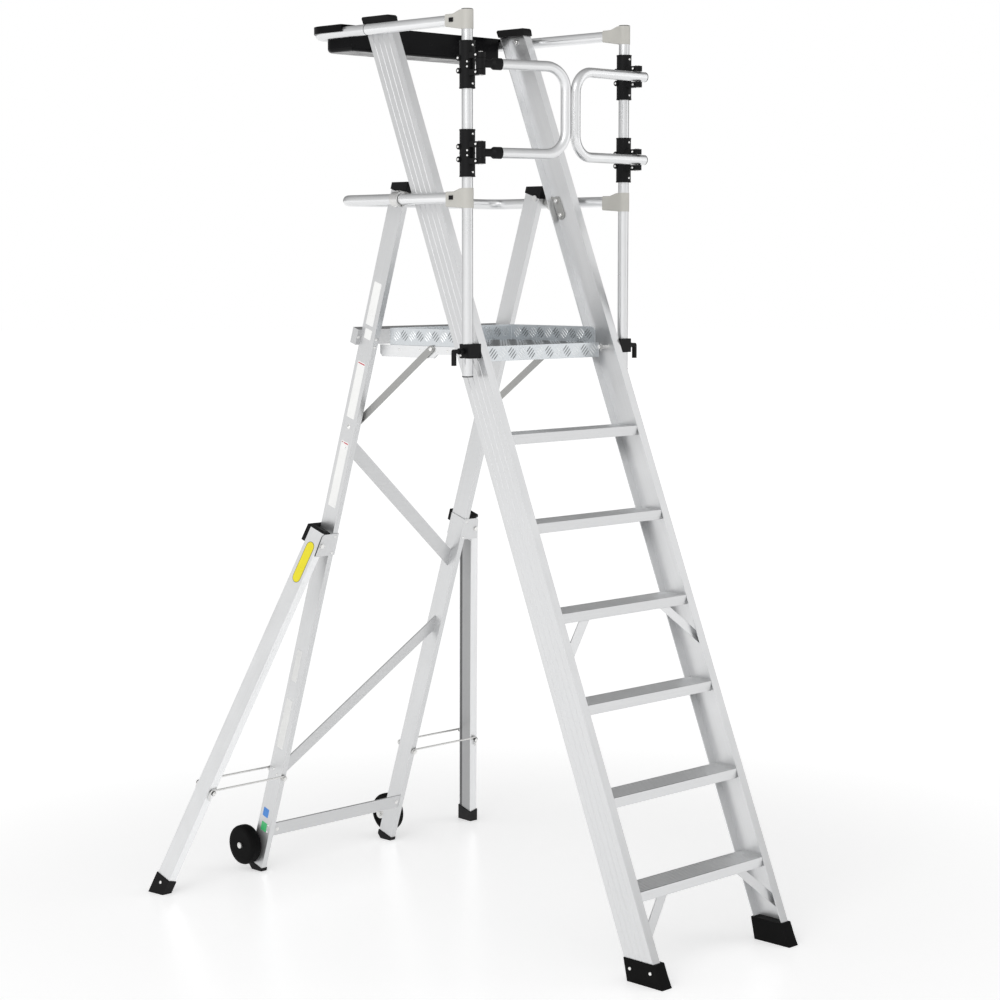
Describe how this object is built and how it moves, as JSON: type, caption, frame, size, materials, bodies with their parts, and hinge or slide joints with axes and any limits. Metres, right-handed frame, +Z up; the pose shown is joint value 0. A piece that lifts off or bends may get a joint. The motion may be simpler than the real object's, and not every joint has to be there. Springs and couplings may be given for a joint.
{
  "type": "platform step ladder",
  "caption": "Folding platform step ladder with guard rail, swing gates, tool tray, braced rear frame, tilt-transport wheels and hinged outriggers.",
  "frame": {"origin": "on the floor, under the middle of the ladder's overall width and depth", "axes": "+X to the climber's right, +Y from the treads to the rear frame, +Z up"},
  "size_m": [1.407, 1.873, 2.727],
  "materials": {
    "mill_aluminium": "satin, drawn lengthwise",
    "tread_aluminium": "satin, ribbed",
    "chequer_aluminium": "bright with raised bars",
    "tube_aluminium": "satin",
    "grey_plastic": "fine grain",
    "black_plastic": "fine grain",
    "black_gloss_plastic": "glossy",
    "black_rubber": "matte",
    "label_white": "printed film, left blank",
    "label_colour": "printed film, plain",
    "zinc_steel": "zinc plated"
  },
  "bodies": {
    "front_ladder": {"stile_right": "mill_aluminium", "stile_left": "mill_aluminium", "boots": "black_rubber", "stile_caps": "black_plastic", "tread_1": "tread_aluminium", "tread_2": "tread_aluminium", "tread_3": "tread_aluminium", "tread_4": "tread_aluminium", "tread_5": "tread_aluminium", "tread_6": "tread_aluminium", "tread_braces": "mill_aluminium", "post_right": "tube_aluminium", "post_left": "tube_aluminium", "rail_elbows": "grey_plastic", "rail_tees": "grey_plastic", "upper_rail_arms": "tube_aluminium", "upper_rail_loop": "tube_aluminium", "lower_rail_arms": "tube_aluminium", "lower_rail_loop": "tube_aluminium", "ring_clamps": "zinc_steel", "side_plugs": "black_plastic", "post_clamps": "black_plastic", "gate_hinges_right": "black_plastic", "gate_hinges_left": "black_plastic", "gate_pins": "zinc_steel", "fold_plates": "zinc_steel", "frame_bolts": "zinc_steel", "tool_tray": "black_gloss_plastic"},
    "rear_frame": {"rear_leg_right": "mill_aluminium", "rear_leg_left": "mill_aluminium", "leg_caps": "black_plastic", "leg_feet": "black_plastic", "brace_upper": "mill_aluminium", "brace_lower": "mill_aluminium", "bottom_crossbar": "mill_aluminium", "rear_beam": "mill_aluminium", "wheel_brackets": "zinc_steel", "wheel_axles": "zinc_steel", "outrigger_brackets": "mill_aluminium", "outrigger_blocks": "black_plastic", "rear_pins": "zinc_steel"},
    "platform": {"platform_deck": "chequer_aluminium", "platform_rails": "mill_aluminium", "platform_pins": "zinc_steel"},
    "strut_r": {"strut_right": "mill_aluminium"},
    "strut_l": {"strut_left": "mill_aluminium"},
    "gate_r": {"gate_right_loop": "tube_aluminium", "gate_right_plugs": "black_plastic"},
    "gate_l": {"gate_left_loop": "tube_aluminium", "gate_left_sockets": "black_plastic"},
    "lever_r": {"clamp_lever_right": "black_plastic"},
    "lever_l": {"clamp_lever_left": "black_plastic"},
    "wheel_r": {"wheel_right": "black_rubber"},
    "wheel_l": {"wheel_left": "black_rubber"},
    "outrigger_r": {"outrigger_right": "mill_aluminium", "outrigger_fittings_right": "black_plastic"},
    "outrigger_l": {"outrigger_left": "mill_aluminium", "outrigger_fittings_left": "black_plastic"},
    "stay_r": {"stays_right": "zinc_steel"},
    "stay_l": {"stays_left": "zinc_steel"}
  },
  "joints": [
    {"name": "frame_fold", "type": "hinge", "parent": "front_ladder", "child": "rear_frame", "pos_m": [0, 0.119, 2.195], "axis": [-1, 0, 0], "range_deg": [0, 30]},
    {"name": "platform_tilt", "type": "hinge", "parent": "front_ladder", "child": "platform", "pos_m": [0, -0.169, 1.735], "axis": [1, 0, 0], "range_deg": [0, 51.5]},
    {"name": "strut_right_turn", "type": "hinge", "parent": "rear_frame", "child": "strut_r", "pos_m": [0, 0.361, 1.496], "axis": [-1, 0, 0], "range_deg": [0, 20.99]},
    {"name": "strut_left_turn", "type": "hinge", "parent": "rear_frame", "child": "strut_l", "pos_m": [0, 0.361, 1.496], "axis": [-1, 0, 0], "range_deg": [0, 20.99]},
    {"name": "gate_right_swing", "type": "hinge", "parent": "front_ladder", "child": "gate_r", "pos_m": [0.334, -0.258, 2.431], "axis": [0, 0, -1], "range_deg": [-44, 38]},
    {"name": "gate_left_swing", "type": "hinge", "parent": "front_ladder", "child": "gate_l", "pos_m": [-0.334, -0.258, 2.431], "axis": [0, 0, 1], "range_deg": [-92, 56]},
    {"name": "lever_right_turn", "type": "hinge", "parent": "front_ladder", "child": "lever_r", "pos_m": [0.373, -0.203, 1.74], "axis": [-1, 0, 0], "range_deg": [0, 100]},
    {"name": "lever_left_turn", "type": "hinge", "parent": "front_ladder", "child": "lever_l", "pos_m": [-0.373, -0.203, 1.74], "axis": [-1, 0, 0], "range_deg": [0, 100]},
    {"name": "wheel_right_spin", "type": "hinge", "parent": "rear_frame", "child": "wheel_r", "pos_m": [0.318, 0.871, 0.0855], "axis": [1, 0, 0], "continuous": true},
    {"name": "wheel_left_spin", "type": "hinge", "parent": "rear_frame", "child": "wheel_l", "pos_m": [-0.318, 0.871, 0.0855], "axis": [1, 0, 0], "continuous": true},
    {"name": "outrigger_right_fold", "type": "hinge", "parent": "rear_frame", "child": "outrigger_r", "pos_m": [0.335, 0.48176, 1.125], "axis": [0, 0.9511, 0.309], "range_deg": [0, 15]},
    {"name": "outrigger_left_fold", "type": "hinge", "parent": "rear_frame", "child": "outrigger_l", "pos_m": [-0.335, 0.48176, 1.125], "axis": [0, -0.9511, -0.309], "range_deg": [0, 15]},
    {"name": "stay_right_lift", "type": "hinge", "parent": "rear_frame", "child": "stay_r", "pos_m": [0.287, 0.73683, 0.34], "axis": [0, -0.9511, -0.309], "range_deg": [0, 90]},
    {"name": "stay_left_lift", "type": "hinge", "parent": "rear_frame", "child": "stay_l", "pos_m": [-0.287, 0.73683, 0.34], "axis": [0, 0.9511, 0.309], "range_deg": [0, 90]}
  ],
  "couplings": [
    {"joint": "platform_tilt", "follows": "frame_fold", "ratio": 1.7},
    {"joint": "strut_right_turn", "follows": "frame_fold", "ratio": 0.683},
    {"joint": "strut_left_turn", "follows": "frame_fold", "ratio": 0.683},
    {"joint": "stay_right_lift", "follows": "outrigger_right_fold", "ratio": 6},
    {"joint": "stay_left_lift", "follows": "outrigger_left_fold", "ratio": 6}
  ]
}
